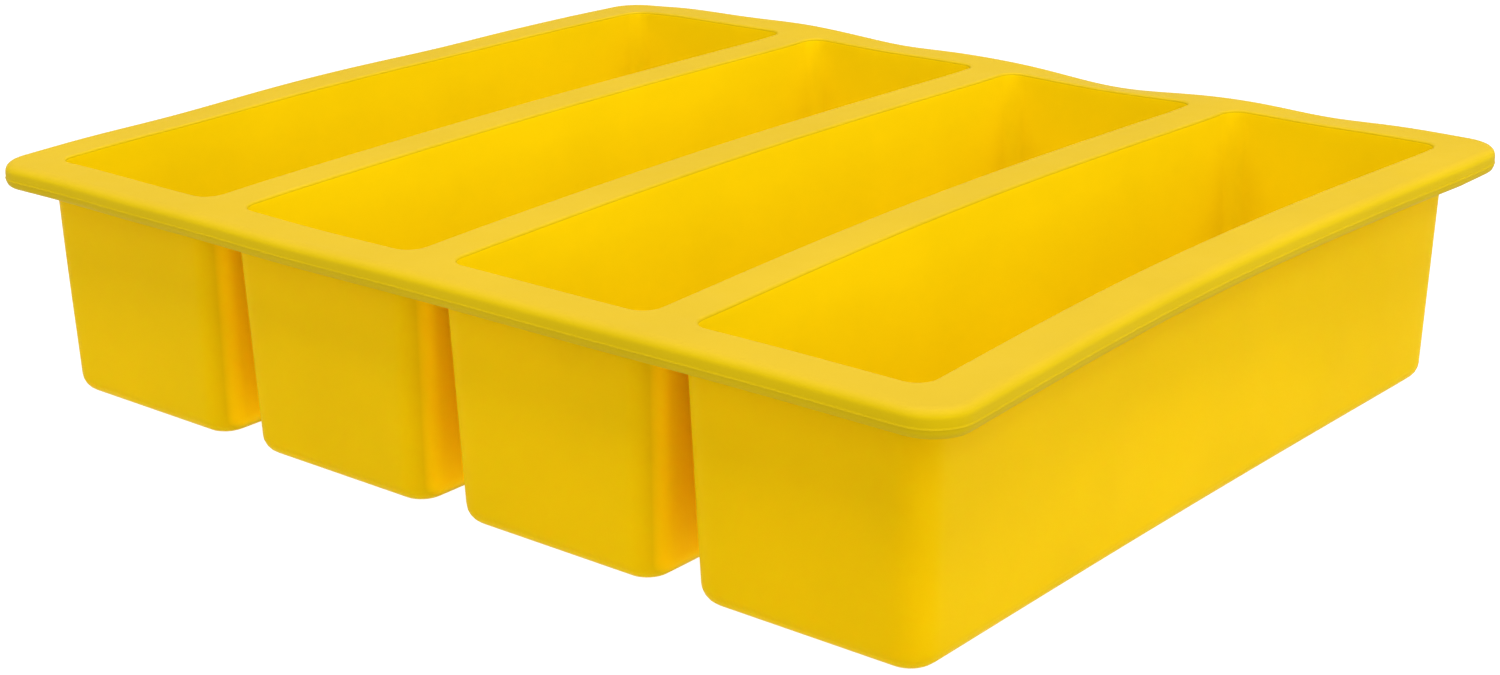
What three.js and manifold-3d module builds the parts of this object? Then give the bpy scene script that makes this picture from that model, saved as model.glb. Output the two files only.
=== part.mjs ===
// Soap mould of soft silicone: long open cups side by side under one flat rim. It is a single
// moulding, divided here at its natural features: a cup and a rim frame for each cavity, and
// the narrow webs over the gaps between the cups, where the moulding bends.
// Millimetres, +Z up. The origin is under the middle of the mould, on the surface it stands on,
// with X across the row of cups and Y along each cup.
import * as THREE from 'three';
import { mergeVertices } from 'three/addons/utils/BufferGeometryUtils.js';
import Module from 'manifold-3d';

// Cavities
const CAVITY_COUNT = 4;
const CAVITY_WIDTH = 47.6; // at the mouth, across the row
const CAVITY_LENGTH = 175.6; // at the mouth, along the cup
const CAVITY_CORNER = 3.8; // radius of the upright corners inside

// Walls
const MOULD_HEIGHT = 50;
const WALL = 2.2;
const FLOOR = 2.6;
const SIDE_LEAN = 1.7; // how far a long wall leans in from top to bottom
const END_LEAN = 0.8; // how far an end wall leans in from top to bottom
const CUP_GAP = 4.8; // between neighbouring cups, measured at the top
const FLOOR_EDGE = 3.6; // rounding outside, between the walls and the floor
const FLOOR_FILLET = 3; // rounding inside, between the walls and the floor

// Rim
const RIM_THICKNESS = 5.2;
const RIM_SIDE = 10.5; // from the mouth of an outer cavity to the edge
const RIM_END = 9.4; // from the end of a cavity to the edge
const RIM_CORNER = 8; // radius of the rim's corners seen from above
const RIM_EDGE = 1.8; // rounding along the outer edge, above and below

// Clearance between neighbouring sub-parts of the moulding
const JOIN_GAP = 0.3;

// Facets
const CORNER_SEGMENTS = 3; // passed to the extrusion, which doubles it on each quarter turn
const EDGE_SEGMENTS = 4; // along each rounded edge

// Sizes that follow from these
const PITCH = CAVITY_WIDTH + 2 * WALL + CUP_GAP;
const RIM_WIDTH = (CAVITY_COUNT - 1) * PITCH + CAVITY_WIDTH + 2 * RIM_SIDE;
const RIM_LENGTH = CAVITY_LENGTH + 2 * RIM_END;
const RIM_UNDERSIDE = MOULD_HEIGHT - RIM_THICKNESS;
const CUP_TOP = RIM_UNDERSIDE - JOIN_GAP;
const CUT_MARGIN = 1; // how far a cutting body runs past the surface it cuts

const SILICONE = new THREE.MeshStandardMaterial({ color: 0xe6bd12, roughness: 0.62, metalness: 0 });

const wasm = await Module();
wasm.setup();

/** Turns a closed geometry into a solid that can be joined and cut. */
function toSolid(geometry) {
  geometry.deleteAttribute('normal');
  geometry.deleteAttribute('uv');
  const merged = mergeVertices(geometry);
  return new wasm.Manifold(new wasm.Mesh({
    numProp: 3,
    vertProperties: Float32Array.from(merged.attributes.position.array),
    triVerts: Uint32Array.from(merged.index.array),
  }));
}

/** Makes a named mesh of silicone from a finished solid. */
function toMesh(name, solid) {
  const { vertProperties, triVerts } = solid.getMesh();
  const geometry = new THREE.BufferGeometry();
  geometry.setAttribute('position', new THREE.BufferAttribute(vertProperties, 3));
  geometry.setIndex(new THREE.BufferAttribute(triVerts, 1));
  geometry.computeVertexNormals();
  const mesh = new THREE.Mesh(geometry, SILICONE);
  mesh.name = name;
  return mesh;
}

/** Draws a rectangle with round corners, centred on the origin. */
function roundedRectangle(width, length, radius) {
  const x = width / 2 - radius;
  const y = length / 2 - radius;
  const quarter = Math.PI / 2;
  const shape = new THREE.Shape();
  shape.absarc(x, -y, radius, -quarter, 0);
  shape.absarc(x, y, radius, 0, quarter);
  shape.absarc(-x, y, radius, quarter, 2 * quarter);
  shape.absarc(-x, -y, radius, 2 * quarter, 3 * quarter);
  return shape;
}

/**
 * Raises a rounded rectangle through a list of levels. At each level the outline is at height z,
 * its sides are moved in by leanX and leanY, and its corners are pulled in by ease.
 */
function raise(width, length, radius, levels) {
  const last = levels.length - 1;
  const geometry = new THREE.ExtrudeGeometry(roundedRectangle(width, length, radius), {
    depth: last,
    steps: last,
    bevelEnabled: false,
    curveSegments: CORNER_SEGMENTS,
  });
  const position = geometry.attributes.position;
  const centreX = width / 2 - radius;
  const centreY = length / 2 - radius;
  for (let i = 0; i < position.count; i += 1) {
    const { z, leanX, leanY, ease } = levels[Math.round(position.getZ(i))];
    const sideX = Math.sign(position.getX(i));
    const sideY = Math.sign(position.getY(i));
    const shrink = (radius - ease) / radius;
    const x = sideX * (centreX - leanX) + (position.getX(i) - sideX * centreX) * shrink;
    const y = sideY * (centreY - leanY) + (position.getY(i) - sideY * centreY) * shrink;
    position.setXYZ(i, x, y, z);
  }
  return geometry;
}

/** One level of a cup: the walls lean in towards the floor, in proportion to the depth. */
function cupLevel(z, ease) {
  const depth = 1 - z / MOULD_HEIGHT;
  return { z, leanX: SIDE_LEAN * depth, leanY: END_LEAN * depth, ease };
}

/** The levels of a leaning wall that starts from a rounded lower edge. */
function cupLevels(bottom, top, corner, rounding) {
  const radius = Math.min(rounding, 0.9 * corner);
  const levels = [];
  for (let step = 0; step <= EDGE_SEGMENTS; step += 1) {
    const angle = (step / EDGE_SEGMENTS) * Math.PI / 2;
    levels.push(cupLevel(bottom + radius * (1 - Math.cos(angle)), radius * (1 - Math.sin(angle))));
  }
  levels.push(cupLevel(top, 0));
  return levels;
}

/** The space that is poured full: everything inside the walls, and on up past the rim. */
function cavity() {
  const levels = cupLevels(FLOOR, MOULD_HEIGHT + CUT_MARGIN, CAVITY_CORNER, FLOOR_FILLET);
  return raise(CAVITY_WIDTH, CAVITY_LENGTH, CAVITY_CORNER, levels);
}

/** Walls and floor of one cup, up to the underside of the rim. */
function cup() {
  const corner = CAVITY_CORNER + WALL;
  const levels = cupLevels(0, CUP_TOP, corner, FLOOR_EDGE);
  const outside = raise(CAVITY_WIDTH + 2 * WALL, CAVITY_LENGTH + 2 * WALL, corner, levels);
  return toSolid(outside).subtract(toSolid(cavity()));
}

/** The whole rim as an uncut plate, with its outer edge rounded below and above. */
function rimPlate() {
  const radius = Math.min(RIM_EDGE, 0.45 * RIM_THICKNESS, 0.9 * RIM_CORNER);
  const lower = [];
  const upper = [];
  for (let step = 0; step <= EDGE_SEGMENTS; step += 1) {
    const angle = (step / EDGE_SEGMENTS) * Math.PI / 2;
    const rise = radius * (1 - Math.cos(angle));
    const ease = radius * (1 - Math.sin(angle));
    lower.push({ z: RIM_UNDERSIDE + rise, leanX: 0, leanY: 0, ease });
    upper.unshift({ z: MOULD_HEIGHT - rise, leanX: 0, leanY: 0, ease });
  }
  return raise(RIM_WIDTH, RIM_LENGTH, RIM_CORNER, [...lower, ...upper]);
}

/** A block through the whole rim, between two places across the row. */
function sliceBetween(left, right) {
  const length = RIM_LENGTH + 2 * CUT_MARGIN;
  const height = RIM_THICKNESS + 2 * CUT_MARGIN;
  const block = new THREE.BoxGeometry(right - left, length, height);
  block.translate((left + right) / 2, 0, MOULD_HEIGHT - RIM_THICKNESS / 2);
  return toSolid(block);
}

/** The centre line of a cup, counted from 1 at the low end of X. */
function cupCentre(number) {
  return (number - (CAVITY_COUNT + 1) / 2) * PITCH;
}

/** The frame of rim around one cavity, from web to web or out to the rounded edge. */
function rimFrame(number) {
  const centre = cupCentre(number);
  const toWeb = (PITCH - CUP_GAP - JOIN_GAP) / 2;
  const toEdge = RIM_WIDTH / 2 + CUT_MARGIN;
  const left = number === 1 ? -toEdge : centre - toWeb;
  const right = number === CAVITY_COUNT ? toEdge : centre + toWeb;
  const plate = toSolid(rimPlate()).intersect(sliceBetween(left, right));
  return plate.subtract(toSolid(cavity().translate(centre, 0, 0)));
}

/** The strip of rim that bridges the gap between a cup and the next one. */
function web(number) {
  const centre = cupCentre(number) + PITCH / 2;
  const half = (CUP_GAP - JOIN_GAP) / 2;
  return toSolid(rimPlate()).intersect(sliceBetween(centre - half, centre + half));
}

const mould = new THREE.Group();
for (let number = 1; number <= CAVITY_COUNT; number += 1) {
  const trough = toMesh(`trough_${number}`, cup());
  trough.position.x = cupCentre(number);
  mould.add(trough, toMesh(`rim_${number}`, rimFrame(number)));
}
for (let number = 1; number < CAVITY_COUNT; number += 1) {
  mould.add(toMesh(`web_${number}_${number + 1}`, web(number)));
}

export default mould;
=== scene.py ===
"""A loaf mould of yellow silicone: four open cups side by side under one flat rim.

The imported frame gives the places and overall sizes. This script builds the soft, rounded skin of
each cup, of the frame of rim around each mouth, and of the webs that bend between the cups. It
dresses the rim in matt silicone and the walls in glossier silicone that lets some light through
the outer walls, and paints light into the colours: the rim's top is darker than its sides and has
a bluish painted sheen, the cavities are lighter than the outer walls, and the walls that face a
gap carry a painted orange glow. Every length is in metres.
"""
import logging
import math
from collections.abc import Callable, Iterator
from dataclasses import dataclass
from enum import Enum

import bmesh
import bpy
import numpy as np
from mathutils import Matrix, Vector


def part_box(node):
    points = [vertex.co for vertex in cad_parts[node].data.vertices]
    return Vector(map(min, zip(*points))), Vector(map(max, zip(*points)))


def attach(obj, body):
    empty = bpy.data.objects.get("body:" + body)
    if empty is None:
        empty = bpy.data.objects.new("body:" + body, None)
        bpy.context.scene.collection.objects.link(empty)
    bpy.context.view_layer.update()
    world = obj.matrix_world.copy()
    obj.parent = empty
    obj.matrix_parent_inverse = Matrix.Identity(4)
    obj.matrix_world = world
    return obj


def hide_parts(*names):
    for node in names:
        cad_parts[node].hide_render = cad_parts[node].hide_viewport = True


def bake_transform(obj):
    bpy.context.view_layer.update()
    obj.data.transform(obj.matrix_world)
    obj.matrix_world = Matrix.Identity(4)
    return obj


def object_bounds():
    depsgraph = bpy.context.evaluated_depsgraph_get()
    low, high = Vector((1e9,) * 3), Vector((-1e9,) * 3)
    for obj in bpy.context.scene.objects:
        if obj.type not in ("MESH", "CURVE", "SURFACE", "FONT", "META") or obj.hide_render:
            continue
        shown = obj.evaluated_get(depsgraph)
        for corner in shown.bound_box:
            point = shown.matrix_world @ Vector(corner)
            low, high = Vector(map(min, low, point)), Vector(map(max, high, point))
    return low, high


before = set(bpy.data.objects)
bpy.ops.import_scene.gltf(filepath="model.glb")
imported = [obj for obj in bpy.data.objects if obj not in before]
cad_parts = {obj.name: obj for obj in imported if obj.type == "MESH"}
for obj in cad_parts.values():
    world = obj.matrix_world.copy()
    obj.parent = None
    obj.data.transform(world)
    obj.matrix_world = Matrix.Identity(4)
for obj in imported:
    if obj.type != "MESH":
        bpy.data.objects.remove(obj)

logging.basicConfig(level=logging.INFO, format="%(message)s")
LOG = logging.getLogger("soap_mould")

Colour = tuple[float, float, float]

MM = 0.001
CUP_COUNT = 4
CAD_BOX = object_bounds()

# How finely the skins are divided
ACROSS_STEPS = 14  # along an outline's short sides
ALONG_STEPS = 46  # along an outline's long sides
CORNER_STEPS = 8  # around each corner of an outline, always even
WALL_ROWS = 12
EDGE_ROWS = 6
DECK_ROWS = 4
WEB_COLUMNS = 8
MERGE_DISTANCE = 0.002 * MM
SAME_PLACE = 0.0001 * MM

# The parting line on the rim's outer edge, from above: a low flat ridge
PARTING_DROPS = np.array([1.5, 0.8, 0.6, 0.4, 0.2])  # heights, in widths of the line
PARTING_RISES = np.array([0.0, 0.0, 1.0, 1.0, 0.0])  # how far each stands out, of its height

# Where a change of the finish sets in and where it is full: by part of the normal, for the painted
# light on the tops and the painted glow in the gaps, then by noise
FACES_UP = (0.35, 0.95)
FACES_ACROSS = (0.75, 0.99)
PATCH_NOISE = (0.35, 0.65)
SMEAR_NOISE = (0.3, 0.7)

WHITE = (1.0, 1.0, 1.0, 1.0)


class Finish(Enum):
    """The finishes of the mould, in the order of each piece's list of materials. They differ in
    gloss, and they are one silicone whose colours carry painted light: darker where the rim faces
    up, lighter inside the cavities, with a painted glow in the gaps.
    """

    RIM = 0
    OUTSIDE = 1
    INSIDE = 2


class End(Enum):
    """What a rim frame meets on one side across the row."""

    FREE = "free"
    WEB = "web"


@dataclass(frozen=True)
class MouldSizes:
    """The sizes that the skins share.

    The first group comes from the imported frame, and the second repeats the mould's own wall and
    rounding sizes, which a box can't tell.
    """

    height: float
    rim_thickness: float
    half_width: float
    half_length: float
    pitch: float
    web_half: float

    mouth_width: float = 47.6 * MM
    mouth_length: float = 175.6 * MM
    mouth_corner: float = 3.8 * MM
    wall: float = 2.2 * MM
    floor: float = 2.6 * MM
    side_lean: float = 1.7 * MM
    end_lean: float = 0.8 * MM
    floor_edge: float = 3.6 * MM
    floor_fillet: float = 3.0 * MM
    rim_corner: float = 8.0 * MM
    rim_edge: float = 1.8 * MM
    parting_width: float = 0.4 * MM
    parting_height: float = 0.11 * MM
    mouth_edge: float = 0.55 * MM
    rim_fillet: float = 2.0 * MM
    least_corner: float = 0.4 * MM
    support: float = 0.7 * MM

    @classmethod
    def from_frame(cls) -> "MouldSizes":
        """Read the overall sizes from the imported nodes.

        Returns:
            The sizes, with the wall and rounding sizes at their defaults.
        """
        low, high = CAD_BOX
        rim_low, rim_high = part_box("rim_2")
        first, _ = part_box("trough_1")
        second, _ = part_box("trough_2")
        pitch = second.x - first.x
        web_low, web_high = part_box("web_1_2")
        gap = rim_low.x - web_high.x
        return cls(
            height=high.z,
            rim_thickness=rim_high.z - rim_low.z,
            half_width=(high.x - low.x) / 2,
            half_length=(high.y - low.y) / 2,
            pitch=pitch,
            web_half=(web_high.x - web_low.x + gap) / 2,
        )

    @property
    def underside(self) -> float:
        """Height of the rim's underside."""
        return self.height - self.rim_thickness

    @property
    def rim_middle(self) -> float:
        """Height of the middle of the rim's thickness."""
        return self.height - self.rim_thickness / 2

    @property
    def outer_join(self) -> float:
        """Height at which a wall's outer face passes from the cup to the rim."""
        return self.underside - self.rim_fillet - self.support

    @property
    def inner_join(self) -> float:
        """Height at which a wall's inner face passes from the cup to the rim."""
        return self.height - self.mouth_edge - self.support

    @property
    def cup_corner(self) -> float:
        """Radius of a cup's upright corners outside."""
        return self.mouth_corner + self.wall

    def centre(self, number: int) -> float:
        """Place of a cup's centre line across the row, counted from 1."""
        return (number - (CUP_COUNT + 1) / 2) * self.pitch

    def edge_profile(self) -> tuple[np.ndarray, np.ndarray]:
        """Walk down the rim's outer edge, over its fine parting line.

        Returns:
            How far each point lies outside the flat top, and its height. The number of points
            is always odd.
        """
        radius = self.rim_edge
        turn = np.linspace(0.0, math.pi / 2, EDGE_ROWS + 1)
        rounding = radius * np.sin(turn)
        drop = radius * (1 - np.cos(turn))
        foot = self.underside + radius
        line = foot + self.parting_width * PARTING_DROPS
        ridge = radius + self.parting_height * PARTING_RISES
        outset = np.concatenate([rounding, ridge, rounding[::-1]])
        height = np.concatenate([self.height - drop, line, self.underside + drop[::-1]])
        return outset, height


@dataclass(frozen=True)
class Outline:
    """A rectangle with round corners, walked around in a fixed number of steps.

    A square side keeps its corners sharp and its points on one straight line, for a side that
    meets a web.
    """

    left: float
    right: float
    front: float
    back: float
    radius: float
    square_left: bool = False
    square_right: bool = False

    def points(self) -> np.ndarray:
        """Walk around the outline, starting at the left end of the front side.

        Returns:
            An array of points, one row each, in the plane.
        """
        r = self.radius
        corners = (
            (self.right - r, self.front + r, -90.0, self.square_right),
            (self.right - r, self.back - r, 0.0, self.square_right),
            (self.left + r, self.back - r, 90.0, self.square_left),
            (self.left + r, self.front + r, 180.0, self.square_left),
        )
        arcs = [self._corner(x, y, start, square) for x, y, start, square in corners]
        parts = []
        for index, arc in enumerate(arcs):
            steps = ACROSS_STEPS if index % 2 == 0 else ALONG_STEPS
            share = np.linspace(0.0, 1.0, steps + 1)[:-1, None]
            before = arcs[index - 1][-1]
            parts.append(before + (arc[0] - before) * share)
            parts.append(arc[:-1])
        return np.concatenate(parts)

    def _corner(self, x: float, y: float, start: float, square: bool) -> np.ndarray:
        """Walk around one corner.

        Args:
            x: Centre of the corner's circle.
            y: Centre of the corner's circle.
            start: Direction of the first point, in degrees.
            square: Whether the corner is sharp instead of round.

        Returns:
            The corner's points, both ends included.
        """
        angle = np.radians(start + np.linspace(0.0, 90.0, CORNER_STEPS + 1))
        way = np.stack([np.cos(angle), np.sin(angle)], axis=1)
        if square:
            way = way / np.abs(way).max(axis=1, keepdims=True)
        return np.array([x, y]) + self.radius * way


@dataclass(frozen=True)
class CupShape:
    """The leaning walls of one cup, at any height and at any distance from the wall's face."""

    sizes: MouldSizes
    number: int

    def _lean(self, z: float) -> tuple[float, float]:
        """How far the side and end walls have moved in at height z."""
        depth = 1.0 - z / self.sizes.height
        return self.sizes.side_lean * depth, self.sizes.end_lean * depth

    def inside(self, z: float, ease: float = 0.0) -> np.ndarray:
        """Outline of the wall's inner face at height z, pulled in by ease."""
        return self._outline(z, self.sizes.mouth_corner, 0.0, ease)

    def outside(self, z: float, ease: float = 0.0) -> np.ndarray:
        """Outline of the wall's outer face at height z, pulled in by ease."""
        return self._outline(z, self.sizes.cup_corner, self.sizes.wall, ease)

    def _outline(self, z: float, corner: float, outset: float, ease: float) -> np.ndarray:
        """Outline of a wall's face at height z.

        Args:
            z: Height of the outline.
            corner: Radius of the upright corners at this face.
            outset: How far the face lies outside the cavity.
            ease: How far the outline is pulled in from the face, or out if negative.

        Returns:
            Points in the plane.
        """
        lean_x, lean_y = self._lean(z)
        half_x = self.sizes.mouth_width / 2 + outset - lean_x - ease
        half_y = self.sizes.mouth_length / 2 + outset - lean_y - ease
        centre = self.sizes.centre(self.number)
        radius = max(corner - ease, self.sizes.least_corner)
        outline = Outline(centre - half_x, centre + half_x, -half_y, half_y, radius)
        return outline.points()

    def clearance(self, points: np.ndarray) -> np.ndarray:
        """Measure how far points lie from the wall's outer face, just under the rim.

        Args:
            points: Points in the plane.

        Returns:
            The distance of each point, negative inside the wall.
        """
        sizes = self.sizes
        lean_x, lean_y = self._lean(sizes.underside)
        half = np.array([
            sizes.mouth_width / 2 + sizes.wall - lean_x,
            sizes.mouth_length / 2 + sizes.wall - lean_y,
        ])
        offset = np.abs(points - np.array([sizes.centre(self.number), 0.0]))
        outer = offset - (half - sizes.cup_corner)
        reach = np.linalg.norm(np.maximum(outer, 0.0), axis=1)
        return reach + np.minimum(outer.max(axis=1), 0.0) - sizes.cup_corner


def lift(outline: np.ndarray, z: float | np.ndarray) -> np.ndarray:
    """Raise points in the plane to height z."""
    return np.column_stack([outline, np.broadcast_to(z, len(outline))])


def quarter_turn() -> list[float]:
    """Give the angles of a rounding's rows, from 0 to a quarter turn."""
    return [row / EDGE_ROWS * math.pi / 2 for row in range(EDGE_ROWS + 1)]


def next_around(count: int) -> Iterator[tuple[int, int]]:
    """Pair each place on a ring with the next one, and the last with the first."""
    return zip(range(count), [*range(1, count), 0])


def between(first: np.ndarray, last: np.ndarray, rows: int) -> list[np.ndarray]:
    """Give rings evenly spaced between two rings, both left out."""
    return [first + (last - first) * (row / rows) for row in range(1, rows)]


@dataclass(frozen=True)
class Dip:
    """A soft dip of the rim around one place, or a rise if its depth is negative."""

    across: float
    along: float
    half_across: float
    half_along: float
    depth: float

    def depth_at(self, points: np.ndarray) -> np.ndarray:
        """Work out how far down the dip takes each point.

        Args:
            points: One point a row.

        Returns:
            The depth at each point.
        """
        across = (points[:, 0] - self.across) / self.half_across
        along = (points[:, 1] - self.along) / self.half_along
        return self.depth * np.exp(-(across**2) - along**2)


# The waves of the soft rim, each placed one by one
RIM_DIPS = (
    Dip(-115.0 * MM, 95.0 * MM, 13.0 * MM, 14.0 * MM, 0.9 * MM),
    Dip(-61.0 * MM, 99.0 * MM, 15.0 * MM, 11.0 * MM, -0.7 * MM),
    Dip(-31.0 * MM, 99.0 * MM, 12.0 * MM, 10.0 * MM, 0.6 * MM),
    Dip(28.0 * MM, 99.0 * MM, 19.0 * MM, 10.0 * MM, 2.1 * MM),
    Dip(80.0 * MM, 99.0 * MM, 13.0 * MM, 10.0 * MM, 0.8 * MM),
    Dip(-118.0 * MM, -94.0 * MM, 16.0 * MM, 16.0 * MM, 0.4 * MM),
    Dip(-119.0 * MM, -50.0 * MM, 12.0 * MM, 22.0 * MM, 0.5 * MM),
    Dip(-119.0 * MM, 30.0 * MM, 12.0 * MM, 24.0 * MM, 0.6 * MM),
    Dip(-119.0 * MM, 74.0 * MM, 14.0 * MM, 26.0 * MM, 0.6 * MM),
    Dip(118.0 * MM, 96.0 * MM, 16.0 * MM, 16.0 * MM, 0.3 * MM),
    Dip(-74.0 * MM, -94.0 * MM, 18.0 * MM, 13.0 * MM, 0.25 * MM),
    Dip(-30.0 * MM, -94.0 * MM, 22.0 * MM, 13.0 * MM, 0.5 * MM),
    Dip(80.0 * MM, -94.0 * MM, 26.0 * MM, 13.0 * MM, -0.3 * MM),
)


@dataclass(frozen=True)
class Settling:
    """How the soft mould stands: its long walls bow to one side and its rim dips here and there.

    The bow is widest at bow_centre and dies out about bow_half to either side of it, and the
    foot of a wall takes foot_share of it. The leftmost wall also bulges out below the rim. That
    begins at bulge_start of the half width and is full from bulge_full outwards.
    """

    sizes: MouldSizes
    bow: float = 2.9 * MM
    bow_gain: float = 1.1 * MM
    bow_centre: float = -6.0 * MM
    bow_half: float = 80.0 * MM
    swing_limit: float = 1.05
    foot_share: float = 0.14
    left_bulge: float = 0.9 * MM
    bulge_start: float = 0.72
    bulge_full: float = 0.92
    dips: tuple[Dip, ...] = RIM_DIPS

    def move(self, points: np.ndarray) -> np.ndarray:
        """Move points of the true shape to where the soft mould holds them.

        Args:
            points: One point a row.

        Returns:
            The moved points.
        """
        up = np.clip(points[:, 2] / self.sizes.height, 0.0, 1.0)
        reach = self.bow + self.bow_gain * points[:, 0] / self.sizes.half_width
        along = (points[:, 1] - self.bow_centre) / self.bow_half
        swing = np.cos(np.clip(along, -self.swing_limit, self.swing_limit) * math.pi / 2)
        moved = points.copy()
        moved[:, 0] -= reach * swing * (self.foot_share + (1 - self.foot_share) * up)
        leftward = -points[:, 0] / self.sizes.half_width - self.bulge_start
        leftmost = np.clip(leftward / (self.bulge_full - self.bulge_start), 0.0, 1.0)
        moved[:, 0] -= self.left_bulge * leftmost * (1 - up**4)
        for dip in self.dips:
            moved[:, 2] -= dip.depth_at(points) * up**3
        return moved


class Skin:
    """A closed skin made of rings of points that are joined row by row."""

    def __init__(self, settling: Settling) -> None:
        """Start an empty skin.

        Args:
            settling: How the soft mould moves the finished points.
        """
        self.settling = settling
        self.points: list[np.ndarray] = []
        self.faces: list[tuple[int, ...]] = []
        self.finishes: list[Finish] = []
        self.covered: list[tuple[int, ...]] = []
        self.count = 0

    def add_points(self, points: np.ndarray) -> np.ndarray:
        """Store points.

        Args:
            points: One point a row.

        Returns:
            The index of each point.
        """
        self.points.append(points)
        index = np.arange(self.count, self.count + len(points))
        self.count += len(points)
        return index

    def join(self, lower: np.ndarray, upper: np.ndarray, finish: Finish | None) -> None:
        """Join two rings of point indices with a band of four-sided faces.

        Args:
            lower: Indices of one ring.
            upper: Indices of the next ring.
            finish: The band's finish, or None if it lies against another piece.
        """
        for i, j in next_around(len(lower)):
            face = (int(lower[i]), int(lower[j]), int(upper[j]), int(upper[i]))
            if finish is None:
                self.covered.append(face)
            else:
                self.add_face(face, finish)

    def add_face(self, face: tuple[int, ...], finish: Finish) -> None:
        """Store one face and its finish."""
        self.faces.append(face)
        self.finishes.append(finish)

    def stack(self, rings: list[np.ndarray], finish: Finish) -> list[np.ndarray]:
        """Join rings in order.

        Args:
            rings: Rings of points, all of the same length.
            finish: The finish of all their bands.

        Returns:
            The indices of each ring's points.
        """
        index = [self.add_points(ring) for ring in rings]
        for lower, upper in zip(index, index[1:]):
            self.join(lower, upper, finish)
        return index

    def open_at(self, place: float) -> None:
        """Leave out the faces that lie on one plane, where a web meets the frame.

        Args:
            place: Place of the plane across the row.
        """
        across = np.concatenate(self.points)[:, 0]
        flat = np.isclose(across, place, rtol=0.0, atol=SAME_PLACE)
        kept = [not flat[list(face)].all() for face in self.faces]
        self.finishes = [finish for finish, keep in zip(self.finishes, kept) if keep]
        self.faces = [face for face, keep in zip(self.faces, kept) if keep]

    def fill(self, ring: np.ndarray, ring_index: np.ndarray, finish: Finish) -> None:
        """Close a flat ring with a grid of four-sided faces.

        Args:
            ring: The ring's points.
            ring_index: The index of each.
            finish: The finish of the faces.
        """
        half = CORNER_STEPS // 2
        columns = ACROSS_STEPS + CORNER_STEPS
        rows = ALONG_STEPS + CORNER_STEPS
        around = np.roll(np.arange(len(ring)), half)
        front = around[: columns + 1]
        right = around[columns: columns + rows + 1]
        back = around[columns + rows: 2 * columns + rows + 1][::-1]
        left = np.append(around[2 * columns + rows:], around[0])[::-1]
        grid = np.zeros((rows + 1, columns + 1), int)
        grid[0, :] = ring_index[front]
        grid[:, columns] = ring_index[right]
        grid[rows, :] = ring_index[back]
        grid[:, 0] = ring_index[left]
        across = ring[front, 0]
        share = (across[1:-1] - across[0]) / (across[-1] - across[0])
        for row in range(1, rows):
            start, stop = ring[left[row]], ring[right[row]]
            grid[row, 1:columns] = self.add_points(start + (stop - start) * share[:, None])
        for row in range(rows):
            for c in range(columns):
                face = (grid[row, c], grid[row, c + 1], grid[row + 1, c + 1], grid[row + 1, c])
                self.add_face(tuple(int(v) for v in face), finish)

    def to_object(self, name: str) -> bpy.types.Object:
        """Make the piece.

        Args:
            name: The piece's name.

        Returns:
            The finished object, smooth shaded and facing out.
        """
        mesh = bpy.data.meshes.new(name)
        mesh.from_pydata(np.concatenate(self.points).tolist(), [], self.faces + self.covered)
        smooth = [True] * len(self.faces) + [False] * len(self.covered)
        mesh.polygons.foreach_set("use_smooth", smooth)
        hidden = [Finish.OUTSIDE.value] * len(self.covered)
        finishes = [finish.value for finish in self.finishes] + hidden
        mesh.polygons.foreach_set("material_index", finishes)
        self._seal(mesh)
        points = np.array([vertex.co for vertex in mesh.vertices])
        mesh.vertices.foreach_set("co", self.settling.move(points).ravel())
        mesh.update()
        piece = bpy.data.objects.new(name, mesh)
        bpy.context.scene.collection.objects.link(piece)
        return piece

    @staticmethod
    def _seal(mesh: bpy.types.Mesh) -> None:
        """Merge points that meet, close the open sides, and shade them apart from the skin.

        Args:
            mesh: The mesh to seal.
        """
        work = bmesh.new()
        work.from_mesh(mesh)
        bmesh.ops.remove_doubles(work, verts=work.verts, dist=MERGE_DISTANCE)
        loose = [vert for vert in work.verts if not vert.link_faces]
        bmesh.ops.delete(work, geom=loose, context="VERTS")
        border = [edge for edge in work.edges if edge.is_boundary]
        sides = bmesh.ops.holes_fill(work, edges=border)["faces"]
        for side in sides:
            side.smooth = False
        bmesh.ops.triangulate(work, faces=sides, ngon_method="BEAUTY")
        bmesh.ops.recalc_face_normals(work, faces=work.faces)
        for edge in work.edges:
            edge.smooth = len({face.smooth for face in edge.link_faces}) == 1
        work.to_mesh(mesh)
        work.free()


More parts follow.
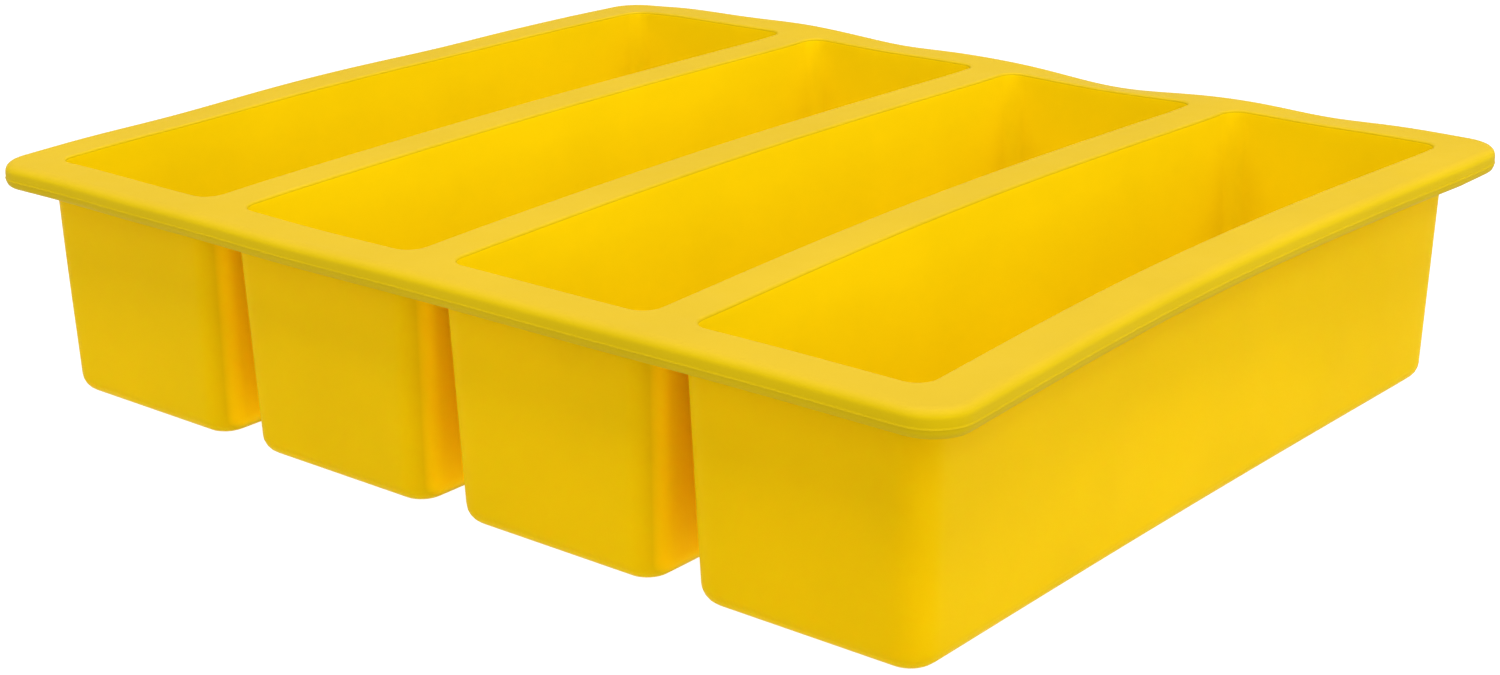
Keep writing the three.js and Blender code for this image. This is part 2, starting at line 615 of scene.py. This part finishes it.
class NodeBench:
    """Adds nodes to one material, and hands back the outputs they give."""

    def __init__(self, material: bpy.types.Material) -> None:
        """Take up a material's nodes."""
        self.tree = material.node_tree

    def link(self, output: bpy.types.NodeSocket, socket: bpy.types.NodeSocket) -> None:
        """Run a link from an output to an input."""
        self.tree.links.new(output, socket)

    def parts(self, vector: bpy.types.NodeSocket) -> bpy.types.NodeOutputs:
        """Divide a vector.

        Args:
            vector: The vector to divide.

        Returns:
            Its parts, named X, Y and Z.
        """
        node = self.tree.nodes.new("ShaderNodeSeparateXYZ")
        self.link(vector, node.inputs["Vector"])
        return node.outputs

    def noise(
        self, place: bpy.types.NodeSocket, scale: float, detail: float
    ) -> bpy.types.NodeSocket:
        """Add a noise texture.

        Args:
            place: Place on the piece.
            scale: How fine the noise is.
            detail: How many finer layers it has.

        Returns:
            The noise's value.
        """
        node = self.tree.nodes.new("ShaderNodeTexNoise")
        node.inputs["Scale"].default_value = scale
        node.inputs["Detail"].default_value = detail
        self.link(place, node.inputs["Vector"])
        return node.outputs["Fac"]

    def math(
        self,
        operation: str,
        first: bpy.types.NodeSocket,
        second: float | bpy.types.NodeSocket = 0.0,
    ) -> bpy.types.NodeSocket:
        """Add a math node.

        Args:
            operation: What it works out, by the node's own name for it.
            first: Its first value.
            second: Its second value, where the operation has one.

        Returns:
            The result.
        """
        node = self.tree.nodes.new("ShaderNodeMath")
        node.operation = operation
        self.link(first, node.inputs[0])
        if isinstance(second, float):
            node.inputs[1].default_value = second
        else:
            self.link(second, node.inputs[1])
        return node.outputs["Value"]

    def mix(
        self,
        amount: bpy.types.NodeSocket,
        low: Colour | bpy.types.NodeSocket,
        high: Colour | bpy.types.NodeSocket,
    ) -> bpy.types.NodeSocket:
        """Mix two colours.

        Args:
            amount: 0 for the low colour, 1 for the high one.
            low: The low colour, plain or from a node.
            high: The high colour, plain or from a node.

        Returns:
            The mixed colour.
        """
        node = self.tree.nodes.new("ShaderNodeMix")
        node.data_type = "RGBA"
        self.link(amount, node.inputs[0])
        for socket, colour in ((node.inputs[6], low), (node.inputs[7], high)):
            if isinstance(colour, tuple):
                socket.default_value = (*colour, 1.0)
            else:
                self.link(colour, socket)
        return node.outputs[2]

    def spread(
        self,
        value: bpy.types.NodeSocket,
        low: float,
        high: float,
        to_low: float = 0.0,
        to_high: float = 1.0,
    ) -> bpy.types.NodeSocket:
        """Map a value from one range to another, and keep it within the second.

        Args:
            value: The value to map.
            low: The value that becomes to_low.
            high: The value that becomes to_high.
            to_low: The result for low.
            to_high: The result for high.

        Returns:
            The mapped value.
        """
        node = self.tree.nodes.new("ShaderNodeMapRange")
        node.inputs["From Min"].default_value = low
        node.inputs["From Max"].default_value = high
        node.inputs["To Min"].default_value = to_low
        node.inputs["To Max"].default_value = to_high
        self.link(value, node.inputs["Value"])
        return node.outputs["Result"]

    def bump(
        self, height: bpy.types.NodeSocket, distance: float, strength: float
    ) -> bpy.types.Node:
        """Bend the normal by a height.

        Args:
            height: The height.
            distance: The relief that a height of 1 stands for.
            strength: How strongly it bends the normal.

        Returns:
            The node.
        """
        node = self.tree.nodes.new("ShaderNodeBump")
        node.inputs["Distance"].default_value = distance
        node.inputs["Strength"].default_value = strength
        self.link(height, node.inputs["Height"])
        return node


@dataclass(frozen=True)
class Silicone:
    """A finish of coloured silicone rubber.

    It has its own colour where it faces up, painted light that offsets the light falling on the
    tops, and may have a painted glow colour on the walls that face the next cup, nearer the middle
    than outer_wall. A share of the light, glow_through, passes below the surface, and glow_reach
    says how much of glow_depth each colour of it gets through.
    """

    name: str
    colour: Colour
    painted_top_colour: Colour
    roughness: float
    shine: float
    grain: float
    painted_gap_glow: Colour | None = None
    glow_through: float = 0.0
    glow_reach: Colour = (1.0, 0.55, 0.05)
    glow_depth: float = 5.0 * MM
    ior: float = 1.41
    shine_tint: Colour = (1.0, 0.72, 0.05)
    gloss_range: float = 0.05
    gloss_scale: float = 90.0
    mottling: float = 0.05
    mottling_scale: float = 28.0
    wave_height: float = 0.25 * MM
    wave_strength: float = 0.25
    wave_scale: float = 60.0
    grain_height: float = 0.02 * MM
    grain_scale: float = 2600.0
    outer_wall: float = 100.0 * MM

    def material(self) -> bpy.types.Material:
        """Make the finish.

        Returns:
            A node material with mottled colour that carries painted light, uneven gloss and a fine
            moulded grain.
        """
        material = bpy.data.materials.new(self.name)
        material.use_nodes = True
        bench = NodeBench(material)
        shader = bench.tree.nodes["Principled BSDF"]
        shader.inputs["IOR"].default_value = self.ior
        shader.inputs["Specular IOR Level"].default_value = self.shine
        shader.inputs["Specular Tint"].default_value = (*self.shine_tint, 1.0)
        shader.inputs["Subsurface Weight"].default_value = self.glow_through
        shader.inputs["Subsurface Radius"].default_value = self.glow_reach
        shader.inputs["Subsurface Scale"].default_value = self.glow_depth
        texture = bench.tree.nodes.new("ShaderNodeTexCoord")
        place = texture.outputs["Object"]
        bench.link(self._colour(bench, texture), shader.inputs["Base Color"])
        bench.link(self._gloss(bench, place), shader.inputs["Roughness"])
        bench.link(self._relief(bench, place), shader.inputs["Normal"])
        return material

    def _colour(self, bench: NodeBench, texture: bpy.types.Node) -> bpy.types.NodeSocket:
        """Mottle the colour, and paint light into it: another colour where the surface faces up,
        and a painted glow where it faces a gap.

        Args:
            bench: The material's nodes.
            texture: The node that gives the place and the turn of the surface.

        Returns:
            The colour.
        """
        place = texture.outputs["Object"]
        turned = bench.parts(texture.outputs["Normal"])
        faces_up = bench.spread(turned["Z"], *FACES_UP)
        # Painted light: surfaces that face up get their own colour, set against the light that
        # falls on them.
        plain = bench.mix(faces_up, self.colour, self.painted_top_colour)
        deep = bench.mix(faces_up, *(
            tuple(part * (1 - self.mottling) for part in colour)
            for colour in (self.colour, self.painted_top_colour)
        ))
        mottle = bench.noise(place, self.mottling_scale, detail=3.0)
        patches = bench.spread(mottle, *PATCH_NOISE)
        colour = bench.mix(patches, deep, plain)
        if self.painted_gap_glow is None:
            return colour
        # Painted glow on the walls that face a gap, where there is only shade.
        return bench.mix(self._gap_glow_mask(bench, place, turned["X"]), colour, self.painted_gap_glow)

    def _gap_glow_mask(
        self,
        bench: NodeBench,
        place: bpy.types.NodeSocket,
        turned_across: bpy.types.NodeSocket,
    ) -> bpy.types.NodeSocket:
        """Find the walls that face a neighbouring cup across a gap, which get the painted glow.

        Args:
            bench: The material's nodes.
            place: Place on the piece.
            turned_across: How far the surface faces across the row.

        Returns:
            1 on those walls, falling to 0 towards their rounded corners.
        """
        distance = bench.math("ABSOLUTE", bench.parts(place)["X"])
        inner = bench.math("LESS_THAN", distance, self.outer_wall)
        facing = bench.spread(bench.math("ABSOLUTE", turned_across), *FACES_ACROSS)
        return bench.math("MULTIPLY", facing, inner)

    def _gloss(self, bench: NodeBench, place: bpy.types.NodeSocket) -> bpy.types.NodeSocket:
        """Make the gloss a little uneven.

        Args:
            bench: The material's nodes.
            place: Place on the piece.

        Returns:
            The roughness.
        """
        smear = bench.noise(place, self.gloss_scale, detail=4.0)
        smooth, rough = self.roughness - self.gloss_range, self.roughness + self.gloss_range
        return bench.spread(smear, *SMEAR_NOISE, smooth, rough)

    def _relief(self, bench: NodeBench, place: bpy.types.NodeSocket) -> bpy.types.NodeSocket:
        """Add the fine grain over a slow unevenness.

        Args:
            bench: The material's nodes.
            place: Place on the piece.

        Returns:
            The bent normal.
        """
        waves = bench.noise(place, self.wave_scale, detail=2.0)
        slow = bench.bump(waves, self.wave_height, self.wave_strength)
        grain = bench.noise(place, self.grain_scale, detail=2.0)
        fine = bench.bump(grain, self.grain_height, self.grain)
        bench.link(slow.outputs["Normal"], fine.inputs["Normal"])
        return fine.outputs["Normal"]


class Palette:
    """The finishes that every piece of the mould wears."""

    def __init__(self) -> None:
        """Make a matt finish for the rim and glossier ones for the walls, with light painted into
        their colours.
        """
        # The rim's colours: the top one is darker and bluer than the side one. This is painted
        # light that offsets the overhead light on the top and adds a bluish painted sheen. The
        # lighter sides brighten the shade on the rounded edges.
        painted_sheen_top, edge = (0.350, 0.237, 0.013), (0.470, 0.330, 0.003)
        # The inner walls are lighter than the outer ones: painted light, standing in for the light
        # in the cavities.
        outer, inner = (0.622, 0.404, 0.001), (0.738, 0.526, 0.001)
        # The gap colour is a painted orange glow for the shaded walls between the cups.
        gap, floor = (0.960, 0.600, 0.001), (0.450, 0.300, 0.001)
        finishes = {
            Finish.RIM: Silicone(
                "rim_silicone", edge, painted_sheen_top, roughness=0.58, shine=0.06, grain=0.5
            ),
            Finish.OUTSIDE: Silicone(
                "outer_silicone", outer, outer, roughness=0.44, shine=0.015, grain=0.3,
                painted_gap_glow=gap, glow_through=0.5,
            ),
            # The cavity floor is darker than the inner walls: painted light, offsetting the
            # overhead light that falls on it.
            Finish.INSIDE: Silicone(
                "inner_silicone", inner, floor, roughness=0.42, shine=0.03, grain=0.3
            ),
        }
        self.materials = {finish: silicone.material() for finish, silicone in finishes.items()}

    def apply(self, piece: bpy.types.Object) -> None:
        """Give a piece all the finishes, in the order that its faces count them."""
        for finish in Finish:
            piece.data.materials.append(self.materials[finish])


@dataclass
class Cup:
    """The walls and floor of one cup, up to where the rim begins."""

    sizes: MouldSizes
    settling: Settling
    number: int

    def build(self) -> bpy.types.Object:
        """Build the cup.

        Returns:
            A closed skin, outside and inside.
        """
        shape = CupShape(self.sizes, self.number)
        outer = self._outer_rings(shape)
        inner = self._inner_rings(shape)
        skin = Skin(self.settling)
        outer_index = skin.stack(outer, Finish.OUTSIDE)
        inner_index = skin.stack(inner[::-1], Finish.INSIDE)
        skin.join(outer_index[-1], inner_index[0], None)
        skin.fill(outer[0], outer_index[0], Finish.OUTSIDE)
        skin.fill(inner[0], inner_index[-1], Finish.INSIDE)
        return skin.to_object(f"cup_{self.number}")

    def _outer_rings(self, shape: CupShape) -> list[np.ndarray]:
        """Draw the outer faces, from the underside of the floor up the walls.

        Args:
            shape: The cup's walls.

        Returns:
            The rings, from the bottom up.
        """
        rings = self._rounded_start(shape.outside, 0.0, self.sizes.floor_edge)
        rows = np.linspace(rings[-1][0, 2], self.sizes.outer_join, WALL_ROWS + 1)[1:]
        return rings + [lift(shape.outside(z), z) for z in rows]

    def _inner_rings(self, shape: CupShape) -> list[np.ndarray]:
        """Draw the inner faces, from the floor of the cavity up the walls.

        Args:
            shape: The cup's walls.

        Returns:
            The rings, from the bottom up.
        """
        rings = self._rounded_start(shape.inside, self.sizes.floor, self.sizes.floor_fillet)
        rows = np.linspace(rings[-1][0, 2], self.sizes.inner_join, WALL_ROWS + 1)[1:]
        return rings + [lift(shape.inside(z), z) for z in rows]

    def _rounded_start(
        self, outline: Callable[..., np.ndarray], bottom: float, radius: float
    ) -> list[np.ndarray]:
        """Draw a flat floor's border and the rounding at the foot of the walls.

        Args:
            outline: Gives the wall's outline at a height, pulled in by a distance.
            bottom: Height of the flat floor.
            radius: Radius of the rounding.

        Returns:
            The rings, from the flat floor to just above the rounding.
        """
        support = self.sizes.support
        rings = [
            lift(outline(bottom, radius + 4 * support), bottom),
            lift(outline(bottom, radius + support), bottom),
        ]
        for angle in quarter_turn():
            z = bottom + radius * (1 - math.cos(angle))
            rings.append(lift(outline(z, radius * (1 - math.sin(angle))), z))
        rings.append(lift(outline(bottom + radius + support), bottom + radius + support))
        return rings

    def dress(self, piece: bpy.types.Object, palette: Palette) -> None:
        """Give the cup its finishes and fix it to its section of the mould.

        Args:
            piece: The finished cup.
            palette: The mould's finishes.
        """
        palette.apply(piece)
        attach(piece, f"section_{self.number}")
        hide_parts(f"trough_{self.number}")


@dataclass
class RimFrame:
    """The frame of flat rim around one mouth, with a rounded edge on its free sides."""

    sizes: MouldSizes
    settling: Settling
    number: int

    @property
    def ends(self) -> tuple[End, End]:
        """Find what the frame meets.

        Returns:
            What is on its left, and what is on its right.
        """
        left = End.FREE if self.number == 1 else End.WEB
        right = End.FREE if self.number == CUP_COUNT else End.WEB
        return left, right

    def edge(self, outset: float) -> np.ndarray:
        """Outline of the frame's outer edge.

        Args:
            outset: Distance outward from the line where the rounded edge begins.

        Returns:
            Points in the plane.
        """
        sizes = self.sizes
        left, right = self.ends
        inset = sizes.rim_edge - outset
        to_web = sizes.pitch / 2 - sizes.web_half
        centre = sizes.centre(self.number)
        start = centre - to_web if left is End.WEB else -sizes.half_width + inset
        stop = centre + to_web if right is End.WEB else sizes.half_width - inset
        reach = sizes.half_length - inset
        outline = Outline(
            start, stop, -reach, reach, sizes.rim_corner - inset,
            square_left=left is End.WEB, square_right=right is End.WEB,
        )
        return outline.points()

    def build(self) -> bpy.types.Object:
        """Build the frame.

        Returns:
            A closed skin around the mouth.
        """
        shape = CupShape(self.sizes, self.number)
        mouth = self._mouth_rings(shape)
        edge = self._edge_rings()
        under = self._underside_rings(shape)
        deck = mouth[1:] + between(mouth[-1], edge[0], DECK_ROWS) + edge
        below = between(edge[-1], under[0], DECK_ROWS) + under
        skin = Skin(self.settling)
        start = skin.add_points(mouth[0])
        deck_index = skin.stack(deck, Finish.RIM)
        under_index = skin.stack(below, Finish.OUTSIDE)
        skin.join(start, deck_index[0], Finish.INSIDE)
        skin.join(deck_index[-1], under_index[0], Finish.OUTSIDE)
        skin.join(under_index[-1], start, None)
        across = self.edge(0.0)[:, 0]
        for place, end in zip((across.min(), across.max()), self.ends):
            if end is End.WEB:
                skin.open_at(place)
        return skin.to_object(f"rim_frame_{self.number}")

    def _mouth_rings(self, shape: CupShape) -> list[np.ndarray]:
        """Draw the top of the inner wall and the crisp edge of the mouth.

        Args:
            shape: The cup's walls.

        Returns:
            The rings, from the wall to the flat top.
        """
        sizes = self.sizes
        radius = sizes.mouth_edge
        rings = [lift(shape.inside(sizes.inner_join), sizes.inner_join)]
        for angle in quarter_turn():
            z = sizes.height - radius * (1 - math.sin(angle))
            rings.append(lift(shape.inside(z, -radius * (1 - math.cos(angle))), z))
        rings.append(lift(shape.inside(sizes.height, -radius - sizes.support), sizes.height))
        return rings

    def _edge_rings(self) -> list[np.ndarray]:
        """Draw the rounded outer edge.

        Returns:
            The rings, from the flat top to the flat underside.
        """
        sizes = self.sizes
        rings = [lift(self.edge(-sizes.support), sizes.height)]
        rings += [lift(self.edge(outset), z) for outset, z in zip(*sizes.edge_profile())]
        rings.append(lift(self.edge(-sizes.support), sizes.underside))
        return rings

    def _underside_rings(self, shape: CupShape) -> list[np.ndarray]:
        """Draw the fillet between the rim's underside and the outer wall.

        Args:
            shape: The cup's walls.

        Returns:
            The rings, from the flat underside to the wall.
        """
        sizes = self.sizes
        radius = sizes.rim_fillet
        low, high = self.edge(0.0)[:, 0].min(), self.edge(0.0)[:, 0].max()
        rings = []
        for angle in quarter_turn():
            z = sizes.underside - radius * (1 - math.cos(angle))
            outline = shape.outside(z, -radius * (1 - math.sin(angle)))
            outline[:, 0] = np.clip(outline[:, 0], low, high)
            rings.append(lift(outline, z))
        rings.append(lift(shape.outside(sizes.outer_join), sizes.outer_join))
        return rings

    def dress(self, piece: bpy.types.Object, palette: Palette) -> None:
        """Give the frame its finishes and fix it to its section of the mould.

        Args:
            piece: The finished frame.
            palette: The mould's finishes.
        """
        palette.apply(piece)
        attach(piece, f"section_{self.number}")
        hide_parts(f"rim_{self.number}")


@dataclass
class Web:
    """The strip of rim over the gap between a cup and the next, where the mould bends."""

    sizes: MouldSizes
    settling: Settling
    number: int

    @property
    def middle(self) -> float:
        """Place of the web's centre line across the row."""
        return self.sizes.centre(self.number) + self.sizes.pitch / 2

    def build(self) -> bpy.types.Object:
        """Build the web.

        Returns:
            A closed skin from one rim frame to the next.
        """
        half = self.sizes.web_half
        columns = np.linspace(self.middle - half, self.middle + half, WEB_COLUMNS + 1)
        skin = Skin(self.settling)
        stations = self._stations()
        skin.stack([self._loop(x, stations) for x in columns], Finish.RIM)
        return skin.to_object(f"web_skin_{self.number}_{self.number + 1}")

    def _stations(self) -> np.ndarray:
        """Find the web's stations, at the same points as along the rim frame that it meets.

        Returns:
            Places along the web, in order.
        """
        edge = RimFrame(self.sizes, self.settling, self.number).edge(0.0)
        along = edge[np.isclose(edge[:, 0], edge[:, 0].max()), 1]
        return np.sort(along)

    def _loop(self, x: float, stations: np.ndarray) -> np.ndarray:
        """Draw one loop around the web: over the top, round the far end, under, and back.

        Args:
            x: Place of the loop across the row.
            stations: Places along the web.

        Returns:
            The loop's points.
        """
        sizes = self.sizes
        outset, end_z = (column[1:-1] for column in sizes.edge_profile())
        end_y = stations[-1] + outset
        top = np.column_stack([stations, np.full(len(stations), sizes.height)])
        far = np.column_stack([end_y, end_z])
        under = np.column_stack([stations, self._underside(x, stations)])[::-1]
        near = np.column_stack([-end_y, end_z])[::-1]
        loop = np.concatenate([top, far, under, near])
        return np.column_stack([np.full(len(loop), x), loop])

    def _underside(self, x: float, stations: np.ndarray) -> np.ndarray:
        """Arch the web's underside down to the walls on both sides.

        Args:
            x: Place across the row.
            stations: Places along the web.

        Returns:
            The height of the underside at each station.
        """
        sizes = self.sizes
        plane = np.column_stack([np.full(len(stations), x), stations])
        gaps = [CupShape(sizes, self.number + step).clearance(plane) for step in (0, 1)]
        short = np.clip(sizes.rim_fillet - np.minimum(*gaps), 0.0, sizes.rim_fillet)
        return sizes.underside - sizes.rim_fillet + np.sqrt(sizes.rim_fillet**2 - short**2)

    def dress(self, piece: bpy.types.Object, palette: Palette) -> None:
        """Give the web its finishes, bake its place into its points and hide the imported web; it
        stays fixed to neither section of the mould.

        Args:
            piece: The finished web.
            palette: The mould's finishes.
        """
        palette.apply(piece)
        half = self.sizes.web_half
        self.middle - half
        self.middle + half
        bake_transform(piece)
        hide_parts(f"web_{self.number}_{self.number + 1}")


@dataclass(frozen=True)
class LightTable:
    """The finish of the studio's floor: white, matt and glowing evenly."""

    grey: float = 0.08
    roughness: float = 0.9
    glow: float = 1.0

    def material(self) -> bpy.types.Material:
        """Make the finish.

        Returns:
            A node material that glows white and adds little of the lights' own light.
        """
        material = bpy.data.materials.new("light_table")
        material.use_nodes = True
        shader = material.node_tree.nodes["Principled BSDF"]
        shader.inputs["Base Color"].default_value = (self.grey, self.grey, self.grey, 1.0)
        shader.inputs["Roughness"].default_value = self.roughness
        shader.inputs["Emission Color"].default_value = WHITE
        shader.inputs["Emission Strength"].default_value = self.glow
        return material


@dataclass(frozen=True)
class Softbox:
    """A square soft light that looks at the mould, with the length of its side and its watts."""

    name: str
    place: tuple[float, float, float]
    side: float
    power: float

    def hang(self) -> None:
        """Add the light to the scene."""
        light = bpy.data.lights.new(self.name, "AREA")
        light.size = self.side
        light.energy = self.power
        lamp = bpy.data.objects.new(self.name, light)
        lamp.location = self.place
        lamp.rotation_mode = "QUATERNION"
        lamp.rotation_quaternion = (-Vector(self.place)).to_track_quat("-Z", "Y")
        bpy.context.scene.collection.objects.link(lamp)


@dataclass(frozen=True)
class Studio:
    """The pale floor and backdrop, the soft lights and the camera."""

    floor_radius: float = 5.0
    floor_drop: float = 0.2 * MM
    floor_finish: LightTable = LightTable()
    backdrop_height: float = 0.9
    backdrop_sides: int = 64
    tent_glow: float = 0.08
    softboxes: tuple[Softbox, ...] = (
        Softbox("overhead", (0.0, 0.0, 1.6), side=1.6, power=66.0),
        Softbox("right_side", (1.5, 0.1, 0.9), side=1.4, power=18.0),
        Softbox("right_high", (1.2, -0.1, 1.5), side=0.8, power=4.0),
        Softbox("front", (0.1, -1.5, 0.9), side=1.4, power=12.5),
    )
    camera_place: tuple[float, float, float] = (0.3306, -0.3917, 0.1907)
    azimuth: float = 40.11
    elevation: float = 19.44
    roll: float = -0.96
    lens: float = 62.8

    def floor(self) -> None:
        """Lay the pale floor, an evenly glowing table with a low backdrop around it."""
        sides = self.backdrop_sides
        around = np.linspace(0.0, 2 * math.pi, sides, endpoint=False)
        ring = self.floor_radius * np.column_stack([np.cos(around), np.sin(around)])
        points = np.concatenate([lift(ring, -self.floor_drop), lift(ring, self.backdrop_height)])
        faces = [tuple(range(sides))]
        faces += [(j, i, sides + i, sides + j) for i, j in next_around(sides)]
        mesh = bpy.data.meshes.new("floor")
        mesh.from_pydata(points.tolist(), [], faces)
        mesh.materials.append(self.floor_finish.material())
        floor = bpy.data.objects.new("floor", mesh)
        bpy.context.scene.collection.objects.link(floor)

    def surroundings(self) -> None:
        """Surround the mould with faint, even white light."""
        scene = bpy.context.scene
        world = bpy.data.worlds.new("dim_tent")
        world.use_nodes = True
        shader = world.node_tree.nodes["Background"]
        shader.inputs["Color"].default_value = WHITE
        shader.inputs["Strength"].default_value = self.tent_glow
        scene.world = world
        scene.view_settings.view_transform = "Standard"

    def camera(self) -> None:
        """Place the camera, looking down on the mould from its front right corner."""
        turn, rise = math.radians(self.azimuth), math.radians(self.elevation)
        level = math.cos(rise)
        back = Vector((math.sin(turn) * level, -math.cos(turn) * level, math.sin(rise)))
        right = Vector((math.cos(turn), math.sin(turn), 0.0))
        up = back.cross(right)
        data = bpy.data.cameras.new("camera")
        data.lens = self.lens
        camera = bpy.data.objects.new("camera", data)
        camera.matrix_world = (
            Matrix.Translation(self.camera_place)
            @ Matrix((right, up, back)).transposed().to_4x4()
            @ Matrix.Rotation(math.radians(self.roll), 4, "Z")
        )
        bpy.context.scene.collection.objects.link(camera)
        bpy.context.scene.camera = camera

    def build(self) -> None:
        """Set up the whole studio."""
        self.floor()
        self.surroundings()
        for softbox in self.softboxes:
            softbox.hang()
        self.camera()


def main() -> None:
    """Build and dress the mould, then the studio around it."""
    sizes = MouldSizes.from_frame()
    settling = Settling(sizes)
    palette = Palette()
    parts: list[Cup | RimFrame | Web] = []
    for number in range(1, CUP_COUNT + 1):
        parts += [Cup(sizes, settling, number), RimFrame(sizes, settling, number)]
    parts += [Web(sizes, settling, number) for number in range(1, CUP_COUNT)]
    for part in parts:
        piece = part.build()
        part.dress(piece, palette)
        LOG.info("%s: %d faces", piece.name, len(piece.data.polygons))
    Studio().build()


if __name__ == "__main__":
    main()
